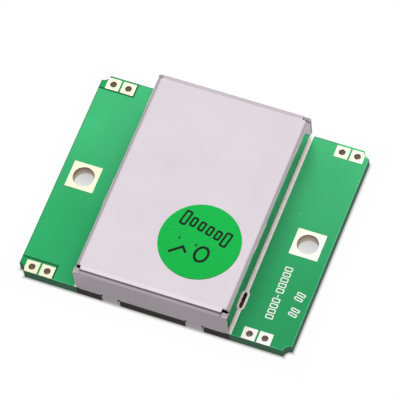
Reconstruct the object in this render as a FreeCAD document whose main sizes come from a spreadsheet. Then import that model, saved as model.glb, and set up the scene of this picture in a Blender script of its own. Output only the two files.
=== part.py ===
# Microwave radar sensor module: a circuit board with patch antennas on its underside
# and a folded tin-plate shield can over the oscillator and mixer on its top side.
# Frame: millimetres, +Z up, X along the board's long side, Y along its short side.
# The origin is the centre of the board's underside, the face that it lies on.
import FreeCAD, Part
import Sketcher
import math
import os
import re

document = FreeCAD.newDocument("radar_sensor_module")
sheet = document.addObject("Spreadsheet::Sheet", "Sizes")

# Driving dimensions in mm and degrees, one row of the sheet each
SIZES = [
    # circuit board, whose length is the can's width and the strips for the pins beside it
    ("board_width", 37.0),
    ("board_thickness", 2.0),
    ("corner_scallop", 1.1),
    ("mask_depth", 0.05),
    ("land_proud", 0.03),
    ("plating", 0.05),
    # mounting holes, one at each short side
    ("mount_inset", 3.8),
    ("mount_hole", 3.5),
    ("mount_ring", 0.6),
    # pin holes, two at each corner, with the front right pair set in by one pitch
    ("pin_pitch", 2.54),
    ("pin_hole", 1.1),
    ("pin_ring", 0.475),
    ("pin_land_gap", 0.34),
    ("pin_rim_gap", 1.5),
    ("left_land_margin", 1.0),
    ("right_land_margin", 0.75),
    ("back_land_margin", 0.325),
    ("front_land_margin", 0.045),
    ("scallop_land_gap", 0.05),
    # shield can, folded from one sheet
    ("can_width", 25.3),
    ("can_height", 6.0),
    ("end_proud", 0.1),
    ("sheet", 0.3),
    ("bend_radius", 1.1),
    ("corner_gap", 0.18),
    ("relief_width", 1.05),
    ("relief_depth", 1.05),
    ("relief_height", 1.1),
    ("wall_chamfer_width", 0.8),
    ("wall_chamfer_height", 0.8),
    # tabs of the can's end walls, in notches of the board's edge
    ("end_tab_spacing", 13.8),
    ("end_tab_width", 2.5),
    ("tab_recess", 0.15),
    ("root_notch_width", 0.3),
    ("root_notch_height", 0.25),
    ("lead_in_length", 0.95),
    ("lead_in_depth", 0.12),
    ("tab_back_gap", 0.25),
    ("edge_notch_margin", 0.25),
    # tabs of the can's side walls, in plated slots
    ("side_tab_width", 2.2),
    ("side_tab_bevel", 0.4),
    ("slot_side_gap", 0.3),
    ("slot_end_gap", 0.375),
    ("slot_land", 0.28),
    ("slot_antenna_gap", 0.245),
    # ground rim under the can's edge
    ("rim_outside", 0.32),
    ("rim_inside", 0.35),
    # solder in the notches and slots
    ("solder_rise", 1.5),
    ("slot_solder_rise", 0.8),
    # inspection sticker
    ("sticker_diameter", 13.0),
    ("sticker_thickness", 0.1),
    ("sticker_right", 4.2),
    ("sticker_forward", 7.9),
    # patch antennas
    ("antenna_spacing", 17.0),
    ("antenna_pitch", 14.0),
    ("patch_width", 8.7),
    ("patch_length", 6.5),
    ("feed_width", 1.2),
    ("feed_inset", 1.8),
    ("inset_gap", 0.5),
    ("feed_place", 3.6),
    ("feed_pin", 0.8),
    # microstrip lines inside the can
    ("line_width", 1.1),
    ("stub_radius", 2.6),
    ("stub_angle", 70.0),
    ("mixer_forward", 6.5),
    ("capacitor_reach", 6.5),
    # oscillator
    ("oscillator_left", 4.0),
    ("transistor_length", 2.0),
    ("transistor_width", 1.25),
    ("transistor_height", 0.9),
    ("transistor_pitch", 1.3),
    ("lead_thickness", 0.15),
    ("lead_width", 0.32),
    ("lead_foot", 0.35),
    ("lead_reach", 0.45),
    ("lead_land_margin", 0.2),
    ("body_standoff", 0.1),
    # dielectric resonator
    ("resonator_diameter", 5.6),
    ("resonator_height", 2.3),
    ("resonator_line_gap", 0.6),
    ("resonator_inset", 8.6),
    ("spacer_diameter", 3.2),
    ("spacer_height", 0.8),
    # mixer diode
    ("diode_length", 2.9),
    ("diode_width", 1.3),
    ("diode_height", 1.0),
    ("diode_pitch", 1.9),
    # chip parts
    ("chip_length", 2.0),
    ("chip_width", 1.25),
    ("chip_height", 0.6),
    ("chip_cap", 0.35),
]


def fill_sheet():
    for row, (name, value) in enumerate(SIZES, 1):
        sheet.set("A%d" % row, name)
        sheet.set("B%d" % row, str(value))
        sheet.setAlias("B%d" % row, name)
    document.recompute()


fill_sheet()


def linked(formula):
    """Point each size name in a formula at its cell."""
    return re.sub(r"[a-z][a-z_]+", lambda word: "Sizes." + word.group(), formula)


def size(formula):
    return float(sheet.evalExpression(linked(formula)))


def bind(feature, place, formula):
    feature.setExpression(place, linked(formula))


# Lengths that follow from others
CAN_LENGTH = "(board_width + 2 * end_proud)"
MOUNT_LAND = "(mount_hole + 2 * mount_ring)"
PIN_LAND_LENGTH = "(pin_pitch - pin_land_gap)"
PIN_LAND_WIDTH = "(pin_hole + 2 * pin_ring)"
SIDE_STRIP = "(right_land_margin + 3 * pin_pitch - pin_land_gap + pin_rim_gap + rim_outside)"
BOARD_END = "(can_width / 2 + %s)" % SIDE_STRIP
EDGE_NOTCH = "(sheet - end_proud + tab_back_gap)"
SLOT_WIDTH = "(sheet + 2 * slot_side_gap)"
SLOT_LENGTH = "(side_tab_width + 2 * slot_end_gap)"
SLOT_MARGIN = "(plating + slot_land)"
ANTENNA_END = "(antenna_pitch / 2 + patch_length / 2)"
SIDE_TAB_PLACE = "(%s + slot_antenna_gap + %s + %s / 2)" % (ANTENNA_END, SLOT_MARGIN, SLOT_LENGTH)

# Heights that several pieces share
MASK_FLOOR = "(board_thickness - mask_depth)"
LAND_TOP = "(board_thickness + land_proud)"
LAND_THICKNESS = "(mask_depth + land_proud)"
CAN_TOP = "(board_thickness + land_proud + can_height)"
BEND_INSIDE = "(bend_radius - sheet)"
SHEET_MIDDLE = "(can_width / 2 - sheet / 2)"
RIM_OUTER = "(can_width / 2 + rim_outside)"
RIM_INNER = "(can_width / 2 - sheet - rim_inside)"
END_TABS = ["(0 - end_tab_spacing / 2)", "(end_tab_spacing / 2)"]
TAB_TIP = "tab_recess"

# Places of the pins' holes: name, x, y
LEFT_OUTER = "(left_land_margin + %s / 2 - %s)" % (PIN_LAND_LENGTH, BOARD_END)
LEFT_INNER = "(%s + pin_pitch)" % LEFT_OUTER
RIGHT_OUTER = "(%s - right_land_margin - %s / 2)" % (BOARD_END, PIN_LAND_LENGTH)
RIGHT_MIDDLE = "(%s - pin_pitch)" % RIGHT_OUTER
RIGHT_INNER = "(%s - 2 * pin_pitch)" % RIGHT_OUTER
BACK_ROW = "(board_width / 2 - back_land_margin - %s / 2)" % PIN_LAND_WIDTH
FRONT_ROW = "(front_land_margin + %s / 2 - board_width / 2)" % PIN_LAND_WIDTH
PINS = [
    ("left_back_outer", LEFT_OUTER, BACK_ROW),
    ("left_back_inner", LEFT_INNER, BACK_ROW),
    ("left_front_outer", LEFT_OUTER, FRONT_ROW),
    ("left_front_inner", LEFT_INNER, FRONT_ROW),
    ("right_back_outer", RIGHT_OUTER, BACK_ROW),
    ("right_back_inner", RIGHT_MIDDLE, BACK_ROW),
    ("right_front_outer", RIGHT_MIDDLE, FRONT_ROW),
    ("right_front_inner", RIGHT_INNER, FRONT_ROW),
]
MOUNTS = [
    ("left", "(mount_inset - %s)" % BOARD_END),
    ("right", "(%s - mount_inset)" % BOARD_END),
]
ANTENNAS = [
    ("transmit", "(0 - antenna_spacing / 2)"),
    ("receive", "(antenna_spacing / 2)"),
]


# Sketch helpers
def make_body(label):
    body = document.addObject("PartDesign::Body", label)
    body.Label = label
    return body


def origin_plane(body, role):
    return [item for item in body.Origin.OriginFeatures if item.Role == role][0]


def make_sketch(body, name, role="XY_Plane", offset="0"):
    sketch = body.newObject("Sketcher::SketchObject", name)
    sketch.AttachmentSupport = (origin_plane(body, role), [""])
    sketch.MapMode = "FlatFace"
    if offset != "0":
        bind(sketch, "AttachmentOffset.Base.z", offset)
    return sketch


def dimension(sketch, kind, arguments, formula):
    """Add a constraint whose value follows the sheet."""
    index = sketch.addConstraint(Sketcher.Constraint(kind, *arguments, size(formula)))
    name = "size%d" % index
    sketch.renameConstraint(index, name)
    bind(sketch, "Constraints." + name, formula)


def pin_point(sketch, element, point, x, y):
    dimension(sketch, "DistanceX", (-1, 1, element, point), x)
    dimension(sketch, "DistanceY", (-1, 1, element, point), y)


def draw_polygon(sketch, corners):
    """Close a polygon through corners given as (x, y) formulas."""
    points = [FreeCAD.Vector(size(x), size(y), 0) for x, y in corners]
    first = sketch.GeometryCount
    count = len(points)
    for index in range(count):
        sketch.addGeometry(Part.LineSegment(points[index], points[(index + 1) % count]))
    for index in range(count):
        following = first + (index + 1) % count
        sketch.addConstraint(Sketcher.Constraint("Coincident", first + index, 2, following, 1))
    for index, (x, y) in enumerate(corners):
        pin_point(sketch, first + index, 1, x, y)


def draw_rectangle(sketch, left, right, bottom, top):
    draw_polygon(sketch, [(left, bottom), (right, bottom), (right, top), (left, top)])


def draw_land(sketch, x, y, length, width):
    """The rectangle of a land whose middle is at x, y."""
    draw_rectangle(sketch, "%s - %s / 2" % (x, length), "%s + %s / 2" % (x, length),
                   "%s - %s / 2" % (y, width), "%s + %s / 2" % (y, width))


def draw_circle(sketch, x, y, radius):
    element = sketch.addGeometry(
        Part.Circle(FreeCAD.Vector(size(x), size(y), 0), FreeCAD.Vector(0, 0, 1), size(radius)))
    pin_point(sketch, element, 3, x, y)
    dimension(sketch, "Radius", (element,), radius)


def draw_slot(sketch, x, y, radius, reach):
    """A slot along the sketch's Y axis, reach being half of its straight length."""
    across = size(radius)
    high = FreeCAD.Vector(size(x), size(y) + size(reach), 0)
    low = FreeCAD.Vector(size(x), size(y) - size(reach), 0)
    side = FreeCAD.Vector(across, 0, 0)
    up = FreeCAD.Vector(0, 0, 1)
    top = sketch.addGeometry(Part.ArcOfCircle(Part.Circle(high, up, across), 0, math.pi))
    left = sketch.addGeometry(Part.LineSegment(high - side, low - side))
    bottom = sketch.addGeometry(Part.ArcOfCircle(Part.Circle(low, up, across), math.pi, 2 * math.pi))
    right = sketch.addGeometry(Part.LineSegment(low + side, high + side))
    loop = [top, left, bottom, right]
    for index in range(len(loop)):
        following = loop[(index + 1) % len(loop)]
        sketch.addConstraint(Sketcher.Constraint("Tangent", loop[index], 2, following, 1))
    sketch.addConstraint(Sketcher.Constraint("Equal", top, bottom))
    dimension(sketch, "Radius", (top,), radius)
    pin_point(sketch, top, 3, x, "%s + %s" % (y, reach))
    pin_point(sketch, bottom, 3, x, "%s - (%s)" % (y, reach))


def draw_bent_strip(sketch, corners):
    """Close a profile of straight runs along the axes; a corner (x, y, radius) is rounded."""
    count = len(corners)
    points = [FreeCAD.Vector(size(corner[0]), size(corner[1]), 0) for corner in corners]
    trims = []
    for index, corner in enumerate(corners):
        trims.append(size(corner[2]) if len(corner) == 3 else 0.0)
    lines = []
    for index in range(count):
        start, end = points[index], points[(index + 1) % count]
        along = (end - start).normalize()
        lines.append(sketch.addGeometry(Part.LineSegment(
            start + along * trims[index], end - along * trims[(index + 1) % count])))
    for index, corner in enumerate(corners):
        before, after = lines[index - 1], lines[index]
        if not trims[index]:
            sketch.addConstraint(Sketcher.Constraint("Coincident", before, 2, after, 1))
            pin_point(sketch, after, 1, corner[0], corner[1])
            continue
        arriving = (points[index] - points[index - 1]).normalize()
        leaving = (points[(index + 1) % count] - points[index]).normalize()
        centre = points[index] + (leaving - arriving) * trims[index]
        turn = arriving.cross(leaving).z
        from_point = centre - leaving * trims[index]
        to_point = centre + arriving * trims[index]
        first, last = (from_point, to_point) if turn > 0 else (to_point, from_point)
        angles = [math.atan2(point.y - centre.y, point.x - centre.x) for point in (first, last)]
        circle = Part.Circle(centre, FreeCAD.Vector(0, 0, 1), trims[index])
        arc = sketch.addGeometry(Part.ArcOfCircle(circle, angles[0], angles[1]))
        entry, leave = (1, 2) if turn > 0 else (2, 1)
        sketch.addConstraint(Sketcher.Constraint("Tangent", before, 2, arc, entry))
        sketch.addConstraint(Sketcher.Constraint("Tangent", arc, leave, after, 1))
        dimension(sketch, "Radius", (arc,), corner[2])
    for index in range(count):
        here, following = corners[index], corners[(index + 1) % count]
        rounded = trims[index] > 0, trims[(index + 1) % count] > 0
        if not any(rounded):
            continue
        level = here[1] == following[1]
        sketch.addConstraint(Sketcher.Constraint("Horizontal" if level else "Vertical", lines[index]))
        if all(rounded):
            if level:
                dimension(sketch, "DistanceY", (-1, 1, lines[index], 1), here[1])
            else:
                dimension(sketch, "DistanceX", (-1, 1, lines[index], 1), here[0])


# Feature helpers
def pad(body, sketch, length, name, both_ways=False, backwards=False):
    feature = body.newObject("PartDesign::Pad", name)
    feature.Profile = sketch
    bind(feature, "Length", length)
    feature.Reversed = backwards
    if both_ways:
        feature.SideType = "Symmetric"
    document.recompute()
    return feature


def pocket(body, sketch, depth, name, upwards=False):
    """Cut the sketch into the body and make sure that something was removed."""
    before = body.Shape.Volume
    feature = body.newObject("PartDesign::Pocket", name)
    feature.Profile = sketch
    bind(feature, "Length", depth)
    feature.Reversed = upwards
    document.recompute()
    if body.Shape.Volume >= before:
        raise RuntimeError("%s of %s removed nothing" % (name, body.Label))
    return feature


def turn_copies(body, features, name):
    """Repeat features turned half round about the vertical axis."""
    pattern = body.newObject("PartDesign::PolarPattern", name)
    pattern.Originals = features
    axis = [item for item in body.Origin.OriginFeatures if item.Role == "Z_Axis"][0]
    pattern.Axis = (axis, [""])
    pattern.Angle = 360
    pattern.Occurrences = 2
    body.Tip = pattern
    document.recompute()
    return pattern


def box(name, x, y, z, length, width, height):
    """A block whose middle is at x, y and whose bottom is at z."""
    block = document.addObject("Part::Box", name)
    bind(block, "Length", length)
    bind(block, "Width", width)
    bind(block, "Height", height)
    bind(block, "Placement.Base.x", "%s - (%s) / 2" % (x, length))
    bind(block, "Placement.Base.y", "%s - (%s) / 2" % (y, width))
    bind(block, "Placement.Base.z", z)
    return block


def cylinder(name, x, y, z, radius, height, angle=None):
    round_bar = document.addObject("Part::Cylinder", name)
    bind(round_bar, "Radius", radius)
    bind(round_bar, "Height", height)
    bind(round_bar, "Placement.Base.x", x)
    bind(round_bar, "Placement.Base.y", y)
    bind(round_bar, "Placement.Base.z", z)
    if angle:
        bind(round_bar, "Angle", angle)
    return round_bar


def fuse(label, shapes):
    joined = document.addObject("Part::MultiFuse", label)
    joined.Shapes = shapes
    joined.Refine = True
    joined.Label = label
    return joined


def group(label, shapes):
    """Separate pieces that share one node."""
    set_of_pieces = document.addObject("Part::Compound", label)
    set_of_pieces.Links = shapes
    set_of_pieces.Label = label
    return set_of_pieces


def cut(label, base, tool):
    remainder = document.addObject("Part::Cut", label)
    remainder.Base = base
    remainder.Tool = tool
    remainder.Label = label
    return remainder


# One outline serves the antenna's copper and the window in the board's coat
def draw_antenna(sketch, x):
    inner = "(antenna_pitch / 2 - patch_length / 2)"
    deep = "(antenna_pitch / 2 - patch_length / 2 + feed_inset)"
    half = [
        ("patch_width / 2", inner),
        ("patch_width / 2", ANTENNA_END),
        ("(0 - patch_width / 2)", ANTENNA_END),
        ("(0 - patch_width / 2)", inner),
        ("(0 - feed_width / 2 - inset_gap)", inner),
        ("(0 - feed_width / 2 - inset_gap)", deep),
        ("(0 - feed_width / 2)", deep),
    ]
    upper = [("%s + %s" % (x, across), along) for across, along in half]
    lower = [("%s - %s" % (x, across), "(0 - %s)" % along) for across, along in half]
    start = [("%s + feed_width / 2" % x, deep), ("%s + feed_width / 2 + inset_gap" % x, deep),
             ("%s + feed_width / 2 + inset_gap" % x, inner)]
    finish = [("%s - feed_width / 2" % x, "(0 - %s)" % deep),
              ("%s - feed_width / 2 - inset_gap" % x, "(0 - %s)" % deep),
              ("%s - feed_width / 2 - inset_gap" % x, "(0 - %s)" % inner)]
    draw_polygon(sketch, start + upper + finish + lower)


def draw_edge_notches(sketch, margin):
    """The four openings in the board's edge that take the end walls' tabs."""
    for x in END_TABS:
        left = "%s - end_tab_width / 2 - %s" % (x, margin)
        right = "%s + end_tab_width / 2 + %s" % (x, margin)
        draw_rectangle(sketch, left, right, "(board_width / 2 - %s)" % EDGE_NOTCH,
                       "(board_width / 2 + %s)" % EDGE_NOTCH)
        draw_rectangle(sketch, left, right, "(0 - board_width / 2 - %s)" % EDGE_NOTCH,
                       "(%s - board_width / 2)" % EDGE_NOTCH)


def draw_side_slots(sketch, growth):
    reach = "(%s / 2 - %s / 2)" % (SLOT_LENGTH, SLOT_WIDTH)
    radius = "(%s / 2 + %s)" % (SLOT_WIDTH, growth)
    draw_slot(sketch, SHEET_MIDDLE, "(0 - %s)" % SIDE_TAB_PLACE, radius, reach)
    draw_slot(sketch, "(0 - %s)" % SHEET_MIDDLE, SIDE_TAB_PLACE, radius, reach)


# Circuit board: laminate with its coat, whose windows hold the copper
def make_board():
    body = make_body("printed_circuit_board")
    outline = make_sketch(body, "board_outline")
    draw_rectangle(outline, "(0 - %s)" % BOARD_END, BOARD_END,
                   "(0 - board_width / 2)", "board_width / 2")
    pad(body, outline, "board_thickness", "laminate")

    corners = make_sketch(body, "corner_scallops", offset="board_thickness")
    for x in ("(0 - %s)" % BOARD_END, BOARD_END):
        for y in ("(0 - board_width / 2)", "board_width / 2"):
            draw_circle(corners, x, y, "corner_scallop")
    pocket(body, corners, "board_thickness", "scallops")

    holes = make_sketch(body, "hole_circles", offset="board_thickness")
    for _, x in MOUNTS:
        draw_circle(holes, x, "0", "(mount_hole / 2 + plating)")
    for _, x, y in PINS:
        draw_circle(holes, x, y, "(pin_hole / 2 + plating)")
    for _, x in ANTENNAS:
        draw_circle(holes, x, "feed_place", "feed_pin / 2")
    draw_side_slots(holes, "plating")
    draw_edge_notches(holes, "edge_notch_margin")
    pocket(body, holes, "board_thickness", "drilled_and_milled")

    for side, offset in (("top", "board_thickness"), ("under", "0")):
        windows = make_sketch(body, side + "_windows", offset=offset)
        for _, x in MOUNTS:
            draw_land(windows, x, "0", MOUNT_LAND, MOUNT_LAND)
        for _, x, y in PINS:
            draw_land(windows, x, y, PIN_LAND_LENGTH, PIN_LAND_WIDTH)
        if side == "under":
            for _, x in ANTENNAS:
                draw_antenna(windows, x)
            draw_side_slots(windows, SLOT_MARGIN)
        pocket(body, windows, "mask_depth", side + "_window_cuts", upwards=side == "under")

    # the coat stops at the rim, so the microstrip area inside the can is bare
    bare = make_sketch(body, "bare_area", offset="board_thickness")
    draw_rectangle(bare, "(0 - %s)" % RIM_OUTER, RIM_OUTER, "(0 - board_width / 2)", "board_width / 2")
    pocket(body, bare, "mask_depth", "bare_area_cut")
    bulge = make_sketch(body, "slot_windows", offset="board_thickness")
    draw_side_slots(bulge, SLOT_MARGIN)
    pocket(body, bulge, "mask_depth", "slot_window_cuts")


# Plated holes: a land on each face joined by the lining of the hole
def make_plated_hole(label, x, y, length, width, hole):
    upper = box(label + "_upper", x, y, MASK_FLOOR, length, width, LAND_THICKNESS)
    lower = box(label + "_lower", x, y, "0", length, width, "mask_depth")
    lining = cylinder(label + "_lining", x, y, "0", "%s / 2 + plating" % hole, LAND_TOP)
    copper = fuse(label + "_copper", [upper, lower, lining])
    bore = cylinder(label + "_bore", x, y, "0", "%s / 2" % hole, LAND_TOP)
    return copper, bore


def make_plated_holes():
    for side, x in MOUNTS:
        label = "mount_land_" + side
        cut(label, *make_plated_hole(label, x, "0", MOUNT_LAND, MOUNT_LAND, "mount_hole"))
    for place, x, y in PINS:
        label = "pin_land_" + place
        copper, bore = make_plated_hole(label, x, y, PIN_LAND_LENGTH, PIN_LAND_WIDTH, "pin_hole")
        # a land beside a corner stops at its scallop
        corner_x = "(0 - %s)" % BOARD_END if place.startswith("left") else BOARD_END
        corner_y = "board_width / 2" if "back" in place else "(0 - board_width / 2)"
        scallop = cylinder(label + "_scallop", corner_x, corner_y, "0",
                           "corner_scallop + scallop_land_gap", LAND_TOP)
        cut(label, copper, fuse(label + "_cuts", [bore, scallop]))


# Ground rim: the plated frame that the can stands on, with the linings of its two slots
def make_ground_rim():
    body = make_body("ground_rim")
    frame = make_sketch(body, "rim_frame", offset=MASK_FLOOR)
    draw_rectangle(frame, "(0 - %s)" % RIM_OUTER, RIM_OUTER, "(0 - board_width / 2)", "board_width / 2")
    pad(body, frame, LAND_THICKNESS, "rim_plate")
    bulges = make_sketch(body, "slot_lands", offset=MASK_FLOOR)
    draw_side_slots(bulges, SLOT_MARGIN)
    pad(body, bulges, LAND_THICKNESS, "slot_land_plates")
    linings = make_sketch(body, "slot_linings", offset="0")
    draw_side_slots(linings, "plating")
    pad(body, linings, MASK_FLOOR, "slot_lining_walls")
    under = make_sketch(body, "under_slot_lands", offset="0")
    draw_side_slots(under, SLOT_MARGIN)
    pad(body, under, "mask_depth", "under_slot_land_plates")

    middle = make_sketch(body, "rim_opening", offset=LAND_TOP)
    draw_rectangle(middle, "(0 - %s)" % RIM_INNER, RIM_INNER,
                   "(sheet + rim_inside - %s / 2)" % CAN_LENGTH,
                   "(%s / 2 - sheet - rim_inside)" % CAN_LENGTH)
    pocket(body, middle, LAND_THICKNESS, "rim_opening_cut")
    gaps = make_sketch(body, "rim_gaps", offset=LAND_TOP)
    draw_side_slots(gaps, "0")
    draw_edge_notches(gaps, "edge_notch_margin")
    pocket(body, gaps, LAND_TOP, "rim_gap_cuts")


# Shield can: one folded sheet with open corners, four end tabs and two side tabs
def make_shield_can():
    body = make_body("shield_can")
    half_width = "(can_width / 2)"
    half_length = "(%s / 2)" % CAN_LENGTH
    inner_length = "(%s / 2 - sheet)" % CAN_LENGTH
    relief_top = "(%s - relief_height)" % CAN_TOP

    # top and side walls, bent along the long edges
    channel = make_sketch(body, "side_channel", "XZ_Plane")
    draw_bent_strip(channel, [
        (half_width, LAND_TOP), (half_width, CAN_TOP, "bend_radius"),
        ("(0 - can_width / 2)", CAN_TOP, "bend_radius"), ("(0 - can_width / 2)", LAND_TOP),
        ("(sheet - can_width / 2)", LAND_TOP),
        ("(sheet - can_width / 2)", "(%s - sheet)" % CAN_TOP, BEND_INSIDE),
        ("(can_width / 2 - sheet)", "(%s - sheet)" % CAN_TOP, BEND_INSIDE),
        ("(can_width / 2 - sheet)", LAND_TOP)])
    pad(body, channel, "(%s - 2 * sheet - 2 * corner_gap)" % CAN_LENGTH, "top_and_sides", both_ways=True)

    # top and end walls, bent between the corner reliefs
    ends = make_sketch(body, "end_channel", "YZ_Plane")
    draw_bent_strip(ends, [
        (half_length, LAND_TOP), (half_length, CAN_TOP, "bend_radius"),
        ("(0 - %s)" % half_length, CAN_TOP, "bend_radius"), ("(0 - %s)" % half_length, LAND_TOP),
        ("(0 - %s)" % inner_length, LAND_TOP),
        ("(0 - %s)" % inner_length, "(%s - sheet)" % CAN_TOP, BEND_INSIDE),
        (inner_length, "(%s - sheet)" % CAN_TOP, BEND_INSIDE), (inner_length, LAND_TOP)])
    pad(body, ends, "(can_width - 2 * relief_width)", "ends", both_ways=True)

    # the end walls widen to the full width below the reliefs
    wall = make_sketch(body, "end_wall", "XZ_Plane", inner_length)
    draw_polygon(wall, [
        (half_width, "(%s + wall_chamfer_height)" % LAND_TOP), (half_width, relief_top),
        ("(0 - can_width / 2)", relief_top),
        ("(0 - can_width / 2)", "(%s + wall_chamfer_height)" % LAND_TOP),
        ("(wall_chamfer_width - can_width / 2)", LAND_TOP),
        ("(can_width / 2 - wall_chamfer_width)", LAND_TOP)])
    walls = [pad(body, wall, "sheet", "end_wall_plate")]
    turn_copies(body, walls, "end_walls")

    # square reliefs let the two bends end short of each corner
    corners = make_sketch(body, "corner_reliefs", offset=CAN_TOP)
    for left, right in (("(can_width / 2 - relief_width)", "can_width"),
                        ("(0 - can_width)", "(relief_width - can_width / 2)")):
        draw_rectangle(corners, left, right, "(%s - relief_depth)" % half_length, CAN_LENGTH)
        draw_rectangle(corners, left, right, "(0 - %s)" % CAN_LENGTH, "(relief_depth - %s)" % half_length)
    pocket(body, corners, "relief_height", "corner_relief_cuts")

    # end tabs: straight down past the board's edge, thinned to a lead-in at the tip
    tabs = []
    for number, x in enumerate(END_TABS):
        section = make_sketch(body, "end_tab_section_%d" % number, "YZ_Plane", x)
        outer = "(0 - %s)" % half_length
        inner = "(0 - %s)" % inner_length
        draw_polygon(section, [
            (outer, LAND_TOP), (outer, "(%s + lead_in_length)" % TAB_TIP),
            ("(lead_in_depth - %s)" % half_length, TAB_TIP), (inner, TAB_TIP), (inner, LAND_TOP)])
        tabs.append(pad(body, section, "end_tab_width", "end_tab_%d" % number, both_ways=True))
    turn_copies(body, tabs, "end_tabs")

    # root notches beside each tab, so that the bottom edge doesn't tear
    notches = make_sketch(body, "root_notches", "XZ_Plane", CAN_LENGTH)
    for x in END_TABS:
        top = "(%s + root_notch_height)" % LAND_TOP
        draw_rectangle(notches, "%s - end_tab_width / 2 - root_notch_width" % x,
                       "%s - end_tab_width / 2" % x, "board_thickness", top)
        draw_rectangle(notches, "%s + end_tab_width / 2" % x,
                       "%s + end_tab_width / 2 + root_notch_width" % x, "board_thickness", top)
    pocket(body, notches, "2 * %s" % CAN_LENGTH, "root_notch_cuts")

    # side tabs: down through the slots, with bevelled tips
    side = make_sketch(body, "side_tab", "YZ_Plane", "(can_width / 2 - sheet)")
    near = "(0 - %s - side_tab_width / 2)" % SIDE_TAB_PLACE
    far = "(side_tab_width / 2 - %s)" % SIDE_TAB_PLACE
    draw_polygon(side, [
        (near, LAND_TOP), (near, "(%s + side_tab_bevel)" % TAB_TIP),
        ("(%s + side_tab_bevel)" % near, TAB_TIP), ("(%s - side_tab_bevel)" % far, TAB_TIP),
        (far, "(%s + side_tab_bevel)" % TAB_TIP), (far, LAND_TOP)])
    turn_copies(body, [pad(body, side, "sheet", "side_tab_plate")], "side_tabs")


# Solder behind and beside each end tab, filling its notch
def make_edge_solder(label, x, side):
    body = make_body(label)
    fill = make_sketch(body, label + "_fill", offset="mask_depth")
    sign = "0 - " if side == "front" else ""
    left = "%s - end_tab_width / 2 - edge_notch_margin" % x
    right = "%s + end_tab_width / 2 + edge_notch_margin" % x
    back = "(%s(board_width / 2 - %s))" % (sign, EDGE_NOTCH)
    face = "(%s(board_width / 2))" % sign
    draw_polygon(fill, [(left, back), (right, back), (right, face), (left, face)])
    pad(body, fill, "solder_rise", label + "_block")
    room = make_sketch(body, label + "_tab", offset="(mask_depth + solder_rise)")
    behind = "(%s(%s / 2 - sheet))" % (sign, CAN_LENGTH)
    past = "(%s%s)" % (sign, CAN_LENGTH)
    draw_polygon(room, [("%s - end_tab_width / 2" % x, behind), ("%s + end_tab_width / 2" % x, behind),
                        ("%s + end_tab_width / 2" % x, past), ("%s - end_tab_width / 2" % x, past)])
    pocket(body, room, "solder_rise", label + "_tab_room")


def make_slot_solder(label, sign):
    """The lower part of a side slot filled round its tab."""
    body = make_body(label)
    fill = make_sketch(body, label + "_fill", offset="mask_depth")
    place = "(%s%s)" % ("0 - " if sign > 0 else "", SIDE_TAB_PLACE)
    middle = SHEET_MIDDLE if sign > 0 else "(0 - %s)" % SHEET_MIDDLE
    draw_slot(fill, middle, place, "%s / 2" % SLOT_WIDTH, "(%s / 2 - %s / 2)" % (SLOT_LENGTH, SLOT_WIDTH))
    pad(body, fill, "slot_solder_rise", label + "_block")
    room = make_sketch(body, label + "_tab", offset="(mask_depth + slot_solder_rise)")
    draw_rectangle(room, "%s - sheet / 2" % middle, "%s + sheet / 2" % middle,
                   "%s - side_tab_width / 2" % place, "%s + side_tab_width / 2" % place)
    pocket(body, room, "slot_solder_rise", label + "_tab_room")


def make_solder():
    for side in ("front", "back"):
        for hand, x in zip(("left", "right"), END_TABS):
            make_edge_solder("solder_%s_%s" % (side, hand), x, side)
    make_slot_solder("solder_slot_right", 1)
    make_slot_solder("solder_slot_left", -1)


# Patch antennas on the underside and the pins that feed them through the board
def make_antennas():
    for role, x in ANTENNAS:
        body = make_body(role + "_antenna")
        copper = make_sketch(body, role + "_patches")
        draw_antenna(copper, x)
        pad(body, copper, "mask_depth", role + "_copper")
        pin = cylinder(role + "_feed_pin", x, "feed_place", "mask_depth", "feed_pin / 2",
                       "(board_thickness - 2 * mask_depth)")
        pin.Label = role + "_feed_pin"


# Inspection sticker on the can's top
def make_sticker():
    sticker = cylinder("inspection_sticker", "sticker_right", "(0 - sticker_forward)", CAN_TOP,
                       "sticker_diameter / 2", "sticker_thickness")
    sticker.Label = "inspection_sticker"


# Copper lines and lands inside the can
GATE_X = "(transistor_width / 2 + lead_reach + lead_foot / 2 - oscillator_left)"
DRAIN_X = "(0 - transistor_width / 2 - lead_reach - lead_foot / 2 - oscillator_left)"
RESONATOR_X = "(%s + line_width / 2 + resonator_line_gap + resonator_diameter / 2)" % GATE_X
RESONATOR_Y = "(%s / 2 - resonator_inset)" % CAN_LENGTH
GATE_END = "(%s + resonator_diameter / 2 + chip_width)" % RESONATOR_Y
SOURCE_Y = "(feed_place - transistor_pitch)"
TRANSISTOR_Y = "(feed_place - transistor_pitch / 2)"
MIXER_Y = "(0 - mixer_forward)"
DIODE_LEAD = "(diode_width / 2 + lead_reach + lead_foot / 2)"
TRANSMIT_X = ANTENNAS[0][1]
RECEIVE_X = ANTENNAS[1][1]


def line(name, x_from, x_to, y_from, y_to):
    """A flat copper run between two x and two y places."""
    return box(name, "((%s) + (%s)) / 2" % (x_from, x_to), "((%s) + (%s)) / 2" % (y_from, y_to),
               MASK_FLOOR, "((%s) - (%s))" % (x_to, x_from), "((%s) - (%s))" % (y_to, y_from),
               LAND_THICKNESS)


def lead_land(name, x, y):
    return box(name, x, y, MASK_FLOOR, "lead_foot + 2 * lead_land_margin",
               "lead_width + 2 * lead_land_margin", LAND_THICKNESS)


def stub(name, x, y, turn):
    """A fan-shaped stub whose point lies on the line, opening towards the angle turn."""
    fan = cylinder(name, x, y, MASK_FLOOR, "stub_radius", LAND_THICKNESS, "stub_angle")
    bind(fan, "Placement.Rotation.Angle", "%d - stub_angle / 2" % turn)
    return fan


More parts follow.
